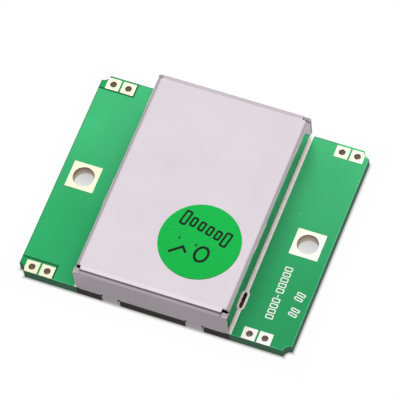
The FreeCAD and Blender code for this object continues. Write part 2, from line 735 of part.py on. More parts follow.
def make_lines():
    half = "line_width / 2"
    fuse("gate_line", [
        line("gate_run", "%s - %s" % (GATE_X, half), "%s + %s" % (GATE_X, half),
             "feed_place - %s" % half, "%s + %s" % (GATE_END, half)),
        stub("gate_stub", GATE_X, "(feed_place + 3 * stub_radius / 2)", 180),
    ])
    fuse("output_line", [
        line("output_run", "%s - %s" % (TRANSMIT_X, half), "%s + %s" % (DRAIN_X, half),
             "feed_place - %s" % half, "feed_place + %s" % half),
        stub("output_stub", "(%s + %s) / 2" % (TRANSMIT_X, DRAIN_X), "feed_place", 90),
    ])
    fuse("mixer_line", [
        line("receive_run", "%s - %s" % (RECEIVE_X, half), "%s + %s" % (RECEIVE_X, half),
             "%s - %s" % (MIXER_Y, half), "feed_place + %s" % half),
        line("mixer_run", "%s - %s" % (DIODE_LEAD, half), "%s + %s" % (RECEIVE_X, half),
             "%s - %s" % (MIXER_Y, half), "%s + %s" % (MIXER_Y, half)),
        stub("mixer_stub", "(%s + %s) / 2" % (RECEIVE_X, DIODE_LEAD), MIXER_Y, 270),
    ])
    group("source_lands", [lead_land("gate_side_source", GATE_X, SOURCE_Y),
                           lead_land("drain_side_source", DRAIN_X, SOURCE_Y)])
    group("detector_lands", [
        lead_land("back_detector", "(0 - %s)" % DIODE_LEAD, "(%s + diode_pitch / 2)" % MIXER_Y),
        lead_land("front_detector", "(0 - %s)" % DIODE_LEAD, "(%s - diode_pitch / 2)" % MIXER_Y)])


def make_resonator():
    spacer = cylinder("resonator_spacer", RESONATOR_X, RESONATOR_Y, MASK_FLOOR,
                      "spacer_diameter / 2", "spacer_height")
    spacer.Label = "resonator_spacer"
    puck = cylinder("resonator_puck", RESONATOR_X, RESONATOR_Y, "%s + spacer_height" % MASK_FLOOR,
                    "resonator_diameter / 2", "resonator_height")
    puck.Label = "resonator_puck"


# Moulded packages with gull-wing leads
def make_package(name, x, y, prefix, lead_places):
    """A package centred at x, y whose leads come out along X at the given y places."""
    half = "%s_width / 2" % prefix
    block = box(name + "_body", x, y, "%s + body_standoff" % LAND_TOP,
                "%s_width" % prefix, "%s_length" % prefix, "%s_height" % prefix)
    block.Label = name + "_body"
    body = make_body(name + "_leads")
    shoulder = "(%s + body_standoff + %s_height / 2)" % (LAND_TOP, prefix)
    knee = "(%s + lead_reach)" % half
    bend = "(%s + lead_reach - lead_thickness)" % half
    toe = "(%s + lead_reach + lead_foot)" % half
    foot_top = "(%s + lead_thickness)" % LAND_TOP
    shoulder_under = "(%s - lead_thickness)" % shoulder
    section = [(half, shoulder), (knee, shoulder), (knee, foot_top), (toe, foot_top),
               (toe, LAND_TOP), (bend, LAND_TOP), (bend, shoulder_under), (half, shoulder_under)]
    for number, (side, place) in enumerate(lead_places):
        sign = "+" if side > 0 else "-"
        sketch = make_sketch(body, "%s_lead_%d" % (name, number), "XZ_Plane",
                             "(0 - (%s) - (%s) - lead_width / 2)" % (y, place))
        draw_polygon(sketch, [("(%s %s %s)" % (x, sign, out), up) for out, up in section])
        pad(body, sketch, "lead_width", "%s_lead_bar_%d" % (name, number))


def make_packages():
    apart = "(transistor_pitch / 2)"
    make_package("transistor", "(0 - oscillator_left)", TRANSISTOR_Y, "transistor",
                 [(1, apart), (1, "(0 - %s)" % apart), (-1, apart), (-1, "(0 - %s)" % apart)])
    wide = "(diode_pitch / 2)"
    make_package("mixer_diode", "0", MIXER_Y, "diode",
                 [(1, "0"), (-1, wide), (-1, "(0 - %s)" % wide)])


# Chip parts: a ceramic block between two end caps, each cap on a land of its own
CHIPS = [
    ("bias_resistor", "(%s + chip_length / 2 - chip_cap / 2)" % GATE_X, GATE_END),
    ("supply_capacitor", "(0 - oscillator_left)", "(feed_place - capacitor_reach)"),
    ("output_capacitor", RECEIVE_X, "(feed_place + capacitor_reach)"),
]


def make_chips():
    caps = []
    lands = []
    for name, x, y in CHIPS:
        block = box(name, x, y, LAND_TOP, "chip_length - 2 * chip_cap", "chip_width", "chip_height")
        block.Label = name
        for sign in ("-", "+"):
            middle = "%s %s (chip_length - chip_cap) / 2" % (x, sign)
            caps.append(box(name + "_cap", middle, y, LAND_TOP, "chip_cap", "chip_width", "chip_height"))
            on_gate_line = name == "bias_resistor" and sign == "-"
            if not on_gate_line:
                lands.append(box(name + "_land", middle, y, MASK_FLOOR, "chip_cap + 2 * lead_land_margin",
                                 "chip_width + 2 * lead_land_margin", LAND_THICKNESS))
    group("chip_end_caps", caps)
    group("chip_lands", lands)


NODES = ["printed_circuit_board", "ground_rim", "shield_can", "inspection_sticker",
         "transmit_antenna", "receive_antenna", "transmit_feed_pin", "receive_feed_pin",
         "gate_line", "output_line", "mixer_line", "resonator_spacer", "resonator_puck",
         "transistor_body", "transistor_leads", "source_lands",
         "mixer_diode_body", "mixer_diode_leads", "detector_lands",
         "bias_resistor", "supply_capacitor", "output_capacitor", "chip_end_caps", "chip_lands",
         "solder_front_left", "solder_front_right", "solder_back_left", "solder_back_right",
         "solder_slot_left", "solder_slot_right"]
NODES += ["mount_land_" + side for side, _ in MOUNTS]
NODES += ["pin_land_" + place for place, _, _ in PINS]


def check_and_write():
    document.recompute()
    failed = [item.Name for item in document.Objects
              if "Invalid" in item.State or "Error" in item.State]
    if failed:
        raise RuntimeError("failed features: %s" % ", ".join(failed))
    os.makedirs("parts", exist_ok=True)
    finished = {item.Label: item for item in document.Objects}
    for node in NODES:
        shape = finished[node].Shape
        if shape.isNull() or not shape.isValid() or not shape.Solids:
            raise RuntimeError("%s has no valid solid" % node)
    for node in NODES:
        finished[node].Shape.exportStep("parts/%s.step" % node)
        print(node, len(finished[node].Shape.Solids), round(finished[node].Shape.Volume, 3))


make_board()
make_plated_holes()
make_ground_rim()
make_shield_can()
make_solder()
make_antennas()
make_sticker()
make_lines()
make_resonator()
make_packages()
make_chips()
check_and_write()
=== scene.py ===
import math

import bpy
from mathutils import Matrix, Vector


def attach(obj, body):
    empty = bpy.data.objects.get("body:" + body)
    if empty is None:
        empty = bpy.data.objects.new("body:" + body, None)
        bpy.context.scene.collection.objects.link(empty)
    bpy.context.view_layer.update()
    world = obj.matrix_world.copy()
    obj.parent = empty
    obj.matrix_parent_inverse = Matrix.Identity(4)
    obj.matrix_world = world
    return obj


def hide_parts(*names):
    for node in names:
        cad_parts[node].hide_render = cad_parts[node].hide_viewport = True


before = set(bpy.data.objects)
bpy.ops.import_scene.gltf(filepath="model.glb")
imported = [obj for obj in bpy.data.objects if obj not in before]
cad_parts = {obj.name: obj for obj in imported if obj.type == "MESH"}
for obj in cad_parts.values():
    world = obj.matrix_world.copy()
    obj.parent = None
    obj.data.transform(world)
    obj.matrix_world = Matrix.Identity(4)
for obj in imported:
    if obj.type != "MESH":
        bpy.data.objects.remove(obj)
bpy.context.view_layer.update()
mm = 0.001
print("frame loaded:", len(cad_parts), "nodes")

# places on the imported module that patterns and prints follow, in mm
module = {
    "halfLength": 22.5,
    "halfWidth": 18.5,
    "boardTop": 2.0,
    "scallop": 1.1,
    "canHalfWidth": 12.65,
    "stickerTop": 8.13,
    "stickerCentre": (4.2, -7.9),
}


def toLinear(hexText):
    channels = [int(hexText[i:i + 2], 16) / 255 for i in (0, 2, 4)]
    return [c / 12.92 if c <= 0.04045 else ((c + 0.055) / 1.055) ** 2.4 for c in channels] + [1.0]


# inputs are given by name, or in order: a Map Range takes its value, the two ends and what they become
def addNode(tree, kind, inputs=(), **settings):
    node = tree.nodes.new("ShaderNode" + kind)
    for name, value in settings.items():
        setattr(node, name, value)
    pairs = inputs.items() if isinstance(inputs, dict) else enumerate(inputs)
    for place, value in pairs:
        if isinstance(value, bpy.types.Node):
            value = value.outputs[0]
        if isinstance(value, bpy.types.NodeSocket):
            tree.links.new(value, node.inputs[place])
        else:
            node.inputs[place].default_value = value
    return node


def startMaterial(name, sockets):
    material = bpy.data.materials.new(name)
    material.use_nodes = True
    tree = material.node_tree
    shader = tree.nodes["Principled BSDF"]
    for socket, value in sockets.items():
        shader.inputs[socket].default_value = value
    return material, tree, shader


# object coordinates in mm, so that every pattern is written at its real size
def placeInMm(tree):
    coordinates = addNode(tree, "TexCoord").outputs["Object"]
    return addNode(tree, "VectorMath", {0: coordinates, "Scale": 1 / mm}, operation="SCALE")


# 1 on a level face, 0 on an upright one
def howLevel(tree):
    normal = addNode(tree, "NewGeometry").outputs["Normal"]
    up = addNode(tree, "SeparateXYZ", [normal]).outputs[2]
    return addNode(tree, "Math", [up], operation="ABSOLUTE")


# distance past the board's outline with its corner scallops, in mm, negative inside
def pastOutline(tree, besideX, besideY):
    pastX = addNode(tree, "Math", [besideX, module["halfLength"]], operation="SUBTRACT")
    pastY = addNode(tree, "Math", [besideY, module["halfWidth"]], operation="SUBTRACT")
    pastStraight = addNode(tree, "Math", [pastX, pastY], operation="MAXIMUM")
    corner = addNode(tree, "CombineXYZ", [pastX, pastY])
    toCorner = addNode(tree, "VectorMath", [corner], operation="LENGTH").outputs["Value"]
    pastScallop = addNode(tree, "Math", [module["scallop"], toCorner], operation="SUBTRACT")
    return addNode(tree, "Math", [pastStraight, pastScallop], operation="MAXIMUM")


# joins a finished pattern to the shader, with its relief in mm
def paint(tree, shader, colour, height, depth, roughness=None):
    tree.links.new(colour.outputs[0], shader.inputs["Base Color"])
    if roughness:
        tree.links.new(roughness.outputs[0], shader.inputs["Roughness"])
    relief = addNode(tree, "Bump", {"Strength": 1.0, "Distance": depth * mm, "Height": height})
    tree.links.new(relief.outputs[0], shader.inputs["Normal"])


def dress(names, material):
    for name in names:
        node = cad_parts[name]
        node.data.materials.clear()
        node.data.materials.append(material)


# printed circuit board: FR-4 glass laminate under a glossy green photo-imaged coat,
# smooth with a faint orange peel; its routed edge and drilled holes are bare resin and glass
coat = {
    # the two greens and the gains paint light and shade across the coat
    "shadedFrontGreen": "24A562",
    "litBackGreen": "36AA6C",
    "fadeFrom": -9.0,
    "fadeTo": 9.0,
    "leftLightGain": 1.06,
    "rightShadeGain": (0.82, 0.93),
    "cloudScale": 0.12,
    "cloudReach": (0.3, 0.7),
    "cloudShare": 0.12,
    "overLaminate": "059A52",
    "bareCornerX": -16.65,
    "bareCornerY": 16.0,
    "bareBlur": 0.05,
    # a dark green for the copper's edge line, partly painted shade, for the cloud's darker tone, and for the
    # painted shade along the back and left edges
    "darkGreen": "05552A",
    "pourEdgeWidth": 0.28,
    "pourEdgeBlur": 0.04,
    # a pale green for the painted highlight along the front and right edges, and for the via
    "edgeLine": "4CC98C",
    "edgeLineWidth": 0.16,
    "edgeLineCore": 0.4,
    "edgeLineShare": 0.75,
    "edgeLightTurn": 2.0,
    "via": (15.7, 4.8, 2.0),
    "viaRadius": 0.22,
    "viaCore": 0.5,
    "viaShare": 0.5,
    "routedEdge": "4F8567",
    "weave": "3A694E",
    "plyScale": 1.25,
    "shadeUnderCan": "34332F",
    "drilledWall": "AC8A5E",
    "wallDepth": 1.15,
    "wallBlur": 0.1,
    "levelReach": (0.5, 0.7),
    "ior": 1.5,
    "specular": 0.28,
    "roughness": 0.27,
    "edgeRoughness": 0.6,
    "peelSize": 0.35,
    "peelDepth": 0.0012,
}


def makeCoat():
    sockets = {"IOR": coat["ior"], "Specular IOR Level": coat["specular"]}
    material, tree, shader = startMaterial("glossy_green_coat_on_laminate", sockets)
    place = placeInMm(tree)
    x, y = addNode(tree, "SeparateXYZ", [place]).outputs[:2]
    besideX = addNode(tree, "Math", [x], operation="ABSOLUTE")
    besideY = addNode(tree, "Math", [y], operation="ABSOLUTE")
    past = pastOutline(tree, besideX, besideY)
    low, high = coat["levelReach"]
    flat = addNode(tree, "MapRange", [howLevel(tree), low, high, 0.0, 1.0])

    # painted light makes the coat paler toward the back, and painted shade makes it darker toward the right,
    # most of all at the front
    backLightShare = addNode(tree, "MapRange", [y, coat["fadeFrom"], coat["fadeTo"], 0.0, 1.0],
                   interpolation_type="SMOOTHSTEP")
    green = addNode(tree, "MixRGB", [backLightShare, toLinear(coat["shadedFrontGreen"]), toLinear(coat["litBackGreen"])])
    frontShadeGain, backShadeGain = coat["rightShadeGain"]
    rightShadeGain = addNode(tree, "MapRange", [y, -module["halfWidth"], module["halfWidth"], frontShadeGain, backShadeGain])
    lightGain = addNode(tree, "MapRange",
                   [x, -module["halfLength"], module["halfLength"], coat["leftLightGain"], rightShadeGain])
    green = addNode(tree, "VectorMath", {0: green, "Scale": lightGain}, operation="SCALE")

    # the two left corners where the copper stops short under the coat; the dark line along the copper's edge
    # is partly its real step and partly painted shade of that step
    bareX = addNode(tree, "Math", [x, coat["bareCornerX"]], operation="SUBTRACT")
    bareY = addNode(tree, "Math", [coat["bareCornerY"], besideY], operation="SUBTRACT")
    bare = addNode(tree, "Math", [bareX, bareY], operation="MAXIMUM")
    bareMask = addNode(tree, "MapRange", [bare, coat["bareBlur"], -coat["bareBlur"], 0.0, 1.0])
    green = addNode(tree, "MixRGB", [bareMask, green, toLinear(coat["overLaminate"])])
    nearRim = addNode(tree, "Math", [bare], operation="ABSOLUTE")
    outer = coat["pourEdgeWidth"] / 2 + coat["pourEdgeBlur"]
    inner = coat["pourEdgeWidth"] / 2 - coat["pourEdgeBlur"]
    bareRim = addNode(tree, "MapRange", [nearRim, outer, inner, 0.0, 1.0])
    green = addNode(tree, "MixRGB", [bareRim, green, toLinear(coat["darkGreen"])])

    low, high = coat["cloudReach"]
    cloud = addNode(tree, "TexNoise", {"Vector": place, "Scale": coat["cloudScale"], "Detail": 3.0})
    tone = addNode(tree, "MapRange", [cloud, low, high, 0.0, coat["cloudShare"]])
    green = addNode(tree, "MixRGB", [tone, green, toLinear(coat["darkGreen"])])

    # a line along the board's edge: pale at the front and right, partly the coat's real paler border and
    # partly a painted highlight of the rounded edge, and painted shade at the back and left
    lineEnd = -coat["edgeLineCore"] * coat["edgeLineWidth"]
    line = addNode(tree, "MapRange", [past, -coat["edgeLineWidth"], lineEnd, 0.0, coat["edgeLineShare"]],
                   interpolation_type="SMOOTHSTEP")
    turn = addNode(tree, "Math", [y, x], operation="SUBTRACT")
    turn = addNode(tree, "MapRange", [turn, 0.0, coat["edgeLightTurn"], 0.0, 1.0])
    edgeHighlightAndShade = addNode(tree, "MixRGB", [turn, toLinear(coat["edgeLine"]), toLinear(coat["darkGreen"])])
    green = addNode(tree, "MixRGB", [line, green, edgeHighlightAndShade])

    # one tented via shows as a small paler dot
    toVia = addNode(tree, "VectorMath", [place, coat["via"]], operation="DISTANCE").outputs["Value"]
    viaCore = coat["viaCore"] * coat["viaRadius"]
    via = addNode(tree, "MapRange", [toVia, coat["viaRadius"], viaCore, 0.0, coat["viaShare"]])
    green = addNode(tree, "MixRGB", [via, green, toLinear(coat["edgeLine"])])

    # the routed edge shows the plies of glass cloth as bands about 0.25 mm apart
    plies = addNode(tree, "TexWave", {"Vector": place, "Scale": coat["plyScale"], "Distortion": 1.5,
                                      "Detail": 2.0, "Detail Scale": 3.0}, bands_direction="Z")
    bands = plies.outputs["Fac"]
    side = addNode(tree, "MixRGB", [bands, toLinear(coat["weave"]), toLinear(coat["routedEdge"])])
    # painted shade darkens its stretches under the can's ends
    under = addNode(tree, "Math", [besideX, module["canHalfWidth"]], operation="LESS_THAN")
    side = addNode(tree, "MixRGB", [under, side, toLinear(coat["shadeUnderCan"])])
    # walls well inside the outline are those of the drilled holes, in bare brown resin
    drilledTo = -coat["wallDepth"] - coat["wallBlur"]
    drilled = addNode(tree, "MapRange", [past, -coat["wallDepth"], drilledTo, 0.0, 1.0])
    side = addNode(tree, "MixRGB", [drilled, side, toLinear(coat["drilledWall"])])

    colour = addNode(tree, "MixRGB", [flat, side, green])
    gloss = addNode(tree, "MapRange", [flat, 0.0, 1.0, coat["edgeRoughness"], coat["roughness"]])
    peel = addNode(tree, "TexNoise", {"Vector": place, "Scale": 1 / coat["peelSize"], "Detail": 2.0})
    paint(tree, shader, colour, peel, coat["peelDepth"], gloss)
    return material


dress(["printed_circuit_board"], makeCoat())


# shield can: cold-rolled tin plate, a satin lilac-grey sheet with fine rolling lines,
# smoother and more mirror-like on the folded walls
tin = {
    "light": "F0E6EE",
    "dark": "EBE0E8",
    "shadeReach": (0.5, 1.0),
    "topRoughness": 0.22,
    "wallRoughness": 0.09,
    "bendReach": (0.9, 0.995),
    # painted shade: the walls keep this share of the top's brightness
    "wallShadeTone": 0.8,
    "wallReach": 0.5,
    "cornerBrown": "B09A92",
    "cornerBrownPlace": (12.1, -18.0, 7.5),
    "cornerBrownReach": (1.0, 0.5),
    "cornerBrownShare": 0.6,
    "lineSpacing": 0.09,
    "lineLength": 9.0,
    "lineDepth": 0.00035,
    "lineShare": 0.5,
    "cloudSize": 7.0,
    "cloudRoughness": 0.06,
}


def makeTin():
    material, tree, shader = startMaterial("rolled_tin_plate", {"Metallic": 1.0})
    place = placeInMm(tree)
    level = howLevel(tree)
    stretch = (1 / tin["lineSpacing"], 1 / tin["lineLength"], 1 / tin["lineSpacing"])
    stretched = addNode(tree, "Mapping", {"Vector": place, "Scale": stretch})
    lines = addNode(tree, "TexNoise", {"Vector": stretched, "Scale": 1.0, "Detail": 3.0})
    cloud = addNode(tree, "TexNoise", {"Vector": place, "Scale": 1 / tin["cloudSize"], "Detail": 2.0})
    shade = addNode(tree, "Math", [lines, tin["lineShare"], cloud], operation="MULTIPLY_ADD")
    low, high = tin["shadeReach"]
    shade = addNode(tree, "MapRange", [shade, low, high, 0.0, 1.0])
    colour = addNode(tree, "MixRGB", [shade, toLinear(tin["dark"]), toLinear(tin["light"])])

    # painted shade makes the walls darker than the top, and the two front corners are tinted brown
    paintedWallShade = addNode(tree, "MapRange", [level, 0.0, tin["wallReach"], tin["wallShadeTone"], 1.0])
    colour = addNode(tree, "VectorMath", {0: colour, "Scale": paintedWallShade}, operation="SCALE")
    x, y, z = addNode(tree, "SeparateXYZ", [place]).outputs
    besideX = addNode(tree, "Math", [x], operation="ABSOLUTE")
    eitherSide = addNode(tree, "CombineXYZ", [besideX, y, z])
    toCorner = addNode(tree, "VectorMath", [eitherSide, tin["cornerBrownPlace"]], operation="DISTANCE")
    outer, inner = tin["cornerBrownReach"]
    brownCorners = addNode(tree, "MapRange", [toCorner.outputs["Value"], outer, inner, 0.0, tin["cornerBrownShare"]])
    colour = addNode(tree, "MixRGB", [brownCorners, colour, toLinear(tin["cornerBrown"])])

    # the folding die left the bends as smooth as the walls
    low, high = tin["bendReach"]
    satin = addNode(tree, "MapRange", [level, low, high, tin["wallRoughness"], tin["topRoughness"]])
    satin = addNode(tree, "Math", [cloud, tin["cloudRoughness"], satin], operation="MULTIPLY_ADD")
    paint(tree, shader, colour, lines, tin["lineDepth"], satin)
    return material


tinPlate = makeTin()
dress(["shield_can"], tinPlate)


# the four pin lands on either side
pinLands = ["pin_land_%s_%s_%s" % (side, end, place)
            for side in ("left", "right") for end in ("back", "front") for place in ("outer", "inner")]

# finishes of the small parts, each with a fine mottle of two tones and its own grain in mm
finishes = {
    # immersion-tinned copper: pale cream, flat and softly bright
    "immersion_tin_on_copper": {
        "nodes": ["mount_land_left", "mount_land_right"] + pinLands,
        "tones": ("FAF8DC", "F7F4D2"), "metallic": 0.2,
        "roughness": (0.32, 0.45), "grain": 0.25, "depth": 0.002,
        # a whiter tone for the painted light toward the right front corner
        "cornerLightTone": "FFFFFA", "cornerFrom": 0.0, "cornerTo": 36.0,
        # the lining's foot is paler with painted light
        "barrel": "8A6C46", "barrelLitFoot": "EDE4D6", "barrelMetallic": 0.0,
    },
    # the same finish on the strip that the can stands on, dulled by the soldering heat
    "heat_dulled_tin_on_copper": {
        "nodes": ["ground_rim"],
        "tones": ("FFF9F2", "F8EEE6"), "metallic": 0.15,
        "roughness": (0.4, 0.55), "grain": 0.3, "depth": 0.004,
        "barrel": "9A7E64", "barrelLitFoot": "9A7E64", "barrelMetallic": 0.0,
    },
    # etched copper foil with an immersion finish, on the underside and inside the can
    "etched_foil_with_tin_finish": {
        "nodes": ["transmit_antenna", "receive_antenna", "gate_line", "output_line", "mixer_line",
                  "source_lands", "detector_lands", "chip_lands"],
        "tones": ("F2EACB", "E2D6B0"), "metallic": 1.0,
        "roughness": (0.28, 0.4), "grain": 0.2, "depth": 0.001,
    },
    # drawn copper wire, lightly tinned
    "tinned_copper_wire": {
        "nodes": ["transmit_feed_pin", "receive_feed_pin"],
        "tones": ("D9B48C", "C79A70"), "metallic": 1.0,
        "roughness": (0.25, 0.4), "grain": 0.15, "depth": 0.002,
    },
    # tin solder that set bright with a frosted, slightly wavy skin
    "frosted_tin_solder": {
        "nodes": ["solder_front_left", "solder_front_right", "solder_back_left", "solder_back_right"],
        "tones": ("D6D6D4", "B4B3B0"), "metallic": 1.0,
        "roughness": (0.2, 0.4), "grain": 0.35, "depth": 0.02,
    },
    # the same solder deep in the tab slots, under brown flux
    "flux_stained_tin_solder": {
        "nodes": ["solder_slot_left", "solder_slot_right"],
        "tones": ("A8A486", "867A66"), "metallic": 0.1,
        "roughness": (0.35, 0.5), "grain": 0.35, "depth": 0.02,
    },
    # stamped leads dipped in tin
    "tin_dipped_lead_frame": {
        "nodes": ["transistor_leads", "mixer_diode_leads", "chip_end_caps"],
        "tones": ("DEDDDA", "C4C3BF"), "metallic": 1.0,
        "roughness": (0.25, 0.4), "grain": 0.12, "depth": 0.003,
    },
    # sintered titanate ceramic, ground flat: matt cream with fine pores
    "ground_titanate_ceramic": {
        "nodes": ["resonator_puck"],
        "tones": ("CDBF9F", "B8A988"), "metallic": 0.0,
        "roughness": (0.6, 0.8), "grain": 0.1, "depth": 0.006,
    },
    # pressed white ceramic
    "pressed_white_ceramic": {
        "nodes": ["resonator_spacer"],
        "tones": ("ECEBE4", "DAD9D0"), "metallic": 0.0,
        "roughness": (0.55, 0.7), "grain": 0.12, "depth": 0.004,
    },
    # transfer-moulded epoxy with a spark-eroded mould finish
    "moulded_black_epoxy": {
        "nodes": ["transistor_body", "mixer_diode_body"],
        "tones": ("1E1E1F", "121213"), "metallic": 0.0,
        "roughness": (0.5, 0.65), "grain": 0.05, "depth": 0.006,
    },
    # fired multilayer ceramic of chip capacitors
    "fired_tan_ceramic": {
        "nodes": ["supply_capacitor", "output_capacitor"],
        "tones": ("A98A63", "94744F"), "metallic": 0.0,
        "roughness": (0.4, 0.55), "grain": 0.08, "depth": 0.003,
    },
    # glass-coated thick film on alumina
    "glass_coated_thick_film": {
        "nodes": ["bias_resistor"],
        "tones": ("17181B", "0E0F11"), "metallic": 0.0,
        "roughness": (0.2, 0.3), "grain": 0.2, "depth": 0.002,
    },
}

# what the finishes share: a mottle a few grains wide, and where a wall turns into a level face
mottling = {
    "scale": 0.3,
    "reach": (0.35, 0.65),
    "levelReach": (0.4, 0.6),
}


def makeFinish(name, finish):
    material, tree, shader = startMaterial(name, {"Metallic": finish["metallic"]})
    place = placeInMm(tree)
    mottleScale = mottling["scale"] / finish["grain"]
    mottle = addNode(tree, "TexNoise", {"Vector": place, "Scale": mottleScale, "Detail": 2.0})
    low, high = mottling["reach"]
    mottle = addNode(tree, "MapRange", [mottle, low, high, 0.0, 1.0])
    colour = addNode(tree, "MixRGB", [mottle] + [toLinear(tone) for tone in finish["tones"]])
    if "cornerLightTone" in finish:  # painted light makes the finish whiter toward the right front corner
        x, y = addNode(tree, "SeparateXYZ", [place]).outputs[:2]
        share = addNode(tree, "Math", [x, y], operation="SUBTRACT")
        share = addNode(tree, "MapRange", [share, finish["cornerFrom"], finish["cornerTo"], 0.0, 1.0])
        colour = addNode(tree, "MixRGB", [share, colour, toLinear(finish["cornerLightTone"])])
    if "barrel" in finish:  # the lining of a plated hole is brown; in the lands' holes painted light makes it paler toward its foot
        z = addNode(tree, "SeparateXYZ", [place]).outputs[2]
        height = addNode(tree, "MapRange", [z, 0.0, module["boardTop"], 0.0, 1.0])
        lining = addNode(tree, "MixRGB", [height, toLinear(finish["barrelLitFoot"]), toLinear(finish["barrel"])])
        low, high = mottling["levelReach"]
        flat = addNode(tree, "MapRange", [howLevel(tree), low, high, 0.0, 1.0])
        colour = addNode(tree, "MixRGB", [flat, lining, colour])
        bright = addNode(tree, "MapRange", [flat, 0.0, 1.0, finish["barrelMetallic"], finish["metallic"]])
        tree.links.new(bright.outputs[0], shader.inputs["Metallic"])
    low, high = finish["roughness"]
    gloss = addNode(tree, "MapRange", [mottle, 0.0, 1.0, low, high])
    grain = addNode(tree, "TexNoise", {"Vector": place, "Scale": 1 / finish["grain"], "Detail": 3.0})
    paint(tree, shader, colour, grain, finish["depth"], gloss)
    return material


for name, finish in finishes.items():
    dress(finish["nodes"], makeFinish(name, finish))


# inspection sticker: green coated paper, satin, its fibres faintly showing on the slant
sticker = {
    "green": "11B34A",
    "fibre": "0DA642",
    "roughness": 0.5,
    "specular": 0.2,
    "fibreWidth": 0.12,
    "fibreLength": 1.6,
    "fibreSlant": 35.0,
    "fibreDepth": 0.004,
    "fibreReach": (0.35, 0.65),
}


def makeStickerPaper():
    sockets = {"Roughness": sticker["roughness"], "Specular IOR Level": sticker["specular"]}
    material, tree, shader = startMaterial("coated_green_paper", sockets)
    place = placeInMm(tree)
    slant = (0.0, 0.0, math.radians(sticker["fibreSlant"]))
    stretch = (1 / sticker["fibreLength"], 1 / sticker["fibreWidth"], 1.0)
    slanted = addNode(tree, "Mapping", {"Vector": place, "Rotation": slant, "Scale": stretch})
    fibres = addNode(tree, "TexNoise", {"Vector": slanted, "Scale": 1.0, "Detail": 3.0})
    low, high = sticker["fibreReach"]
    shade = addNode(tree, "MapRange", [fibres, low, high, 0.0, 1.0])
    colour = addNode(tree, "MixRGB", [shade, toLinear(sticker["green"]), toLinear(sticker["fibre"])])
    paint(tree, shader, colour, fibres, sticker["fibreDepth"])
    return material


dress(["inspection_sticker"], makeStickerPaper())
print("materials on the packed nodes done")


# prints: thin shapes in place of lettering, in screen-printed epoxy ink, even and matt
inks = {
    "white_screen_ink": {"tones": ("F7F8F4", "ECEEE9"), "roughness": 0.5},
    "black_label_ink": {"tones": ("101412", "1C2420"), "roughness": 0.45},
}
inkLayer = {
    "thickness": 0.02,
    "specular": 0.15,
    "mottleScale": 6.0,
    "mottleReach": (0.4, 0.65),
    "mottleDepth": 0.002,
}


def makeInk(name):
    ink = inks[name]
    sockets = {"Roughness": ink["roughness"], "Specular IOR Level": inkLayer["specular"]}
    material, tree, shader = startMaterial(name, sockets)
    place = placeInMm(tree)
    mottle = addNode(tree, "TexNoise", {"Vector": place, "Scale": inkLayer["mottleScale"], "Detail": 2.0})
    low, high = inkLayer["mottleReach"]
    mottle = addNode(tree, "MapRange", [mottle, low, high, 0.0, 1.0])
    colour = addNode(tree, "MixRGB", [mottle] + [toLinear(tone) for tone in ink["tones"]])
    paint(tree, shader, colour, mottle, inkLayer["mottleDepth"])
    return material


def clearSelection():
    if bpy.context.object and bpy.context.object.mode != "OBJECT":
        bpy.ops.object.mode_set(mode="OBJECT")
    bpy.ops.object.select_all(action="DESELECT")


def takePiece(piece):
    clearSelection()
    piece.select_set(True)
    bpy.context.view_layer.objects.active = piece


# a filled flat shape becomes an outline as wide as the stroke
def hollow(stroke):
    bpy.ops.object.mode_set(mode="EDIT")
    bpy.ops.mesh.select_all(action="SELECT")
    bpy.ops.mesh.inset(thickness=stroke * mm)
    bpy.ops.mesh.delete(type="FACE")
    bpy.ops.object.mode_set(mode="OBJECT")


# a flat shape gets its thickness upwards and is closed all round
def thicken(piece, thickness):
    takePiece(piece)
    layer = piece.modifiers.new("layer", "SOLIDIFY")
    layer.thickness = thickness * mm
    layer.offset = 1.0
    bpy.ops.object.modifier_apply(modifier=layer.name)
    return piece


# with a stroke the box is an outline, without one it is filled
def addBlankBox(width, height, stroke, corner, thickness=inkLayer["thickness"]):
    clearSelection()
    bpy.ops.mesh.primitive_plane_add(size=mm)
    piece = bpy.context.object
    piece.scale = (width, height, 1.0)
    bpy.ops.object.transform_apply(location=False, rotation=False, scale=True)
    bpy.ops.object.mode_set(mode="EDIT")
    bpy.ops.mesh.select_all(action="SELECT")
    bpy.ops.mesh.bevel(offset=corner * mm, segments=3, affect="VERTICES")
    bpy.ops.object.mode_set(mode="OBJECT")
    if stroke:
        hollow(stroke)
    return thicken(piece, thickness)


# with a stroke it is a ring, without one a dot
def addRing(radius, stroke, stretch=1.0):
    clearSelection()
    bpy.ops.mesh.primitive_circle_add(vertices=40, radius=radius * mm, fill_type="NGON")
    piece = bpy.context.object
    piece.scale = (1.0, stretch, 1.0)
    bpy.ops.object.transform_apply(location=False, rotation=False, scale=True)
    if stroke:
        hollow(stroke)
    return thicken(piece, inkLayer["thickness"])


# a tick: a square at its elbow with two edges drawn out into a short and a long arm
def addTick(shortArm, longArm, stroke, lean):
    clearSelection()
    bpy.ops.mesh.primitive_plane_add(size=stroke * mm)
    piece = bpy.context.object
    limit = stroke * mm * 0.49  # just short of the square's edges
    for axis, sign, reach in ((0, -1, shortArm), (1, 1, longArm)):
        bpy.ops.object.mode_set(mode="EDIT")
        bpy.ops.mesh.select_all(action="DESELECT")
        bpy.ops.object.mode_set(mode="OBJECT")
        for edge in piece.data.edges:
            middle = sum((piece.data.vertices[v].co for v in edge.vertices), Vector()) / 2
            edge.select = middle[axis] * sign > limit and abs(middle[1 - axis]) < limit
        bpy.ops.object.mode_set(mode="EDIT")
        move = [0.0, 0.0, 0.0]
        move[axis] = sign * reach * mm
        bpy.ops.mesh.extrude_region_move(TRANSFORM_OT_translate={"value": move})
        bpy.ops.object.mode_set(mode="OBJECT")
    piece.rotation_euler = (0.0, 0.0, math.radians(lean))
    bpy.ops.object.transform_apply(location=False, rotation=True, scale=False)
    return thicken(piece, inkLayer["thickness"])


